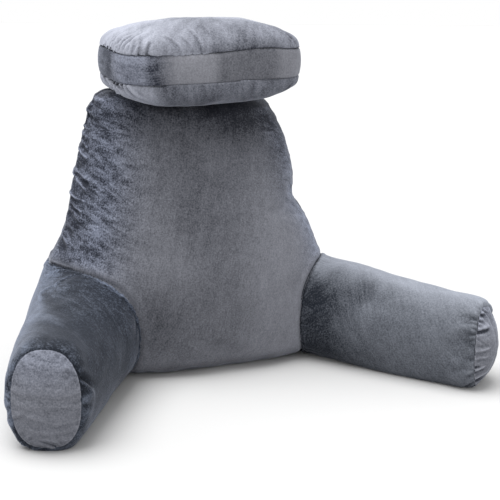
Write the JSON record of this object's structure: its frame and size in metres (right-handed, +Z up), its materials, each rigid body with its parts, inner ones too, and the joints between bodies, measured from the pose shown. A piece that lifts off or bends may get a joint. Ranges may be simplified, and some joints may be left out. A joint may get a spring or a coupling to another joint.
{
  "type": "reading pillow with arms",
  "caption": "Velvet reading pillow: a tall filled back on a flat bottom, two tapering arms with oval end panels, and a boxed head cushion on top.",
  "frame": {"origin": "middle of the outer box's bottom, on the surface that the pillow stands on", "axes": "+Z up, -Y towards the open seat side between the arms, +X towards the arm at a viewer's right who faces the pillow"},
  "size_m": [0.8134, 0.5418, 0.5879],
  "materials": {
    "back_velvet": "short-pile velvet, brushed upwards, slate grey",
    "arm_velvet": "short-pile velvet, brushed along the arm, blue-grey",
    "end_velvet": "short-pile velvet, brushed across, light slate",
    "head_velvet": "short-pile velvet, brushed towards the light, pale slate",
    "band_velvet": "short-pile velvet, brushed down, slate grey"
  },
  "bodies": {
    "root": {"backrest": "back_velvet", "arm_left": "arm_velvet", "arm_right": "arm_velvet", "arm_end_left": "end_velvet", "arm_end_right": "end_velvet", "head_cushion": "head_velvet", "head_band": "band_velvet"}
  },
  "joints": []
}
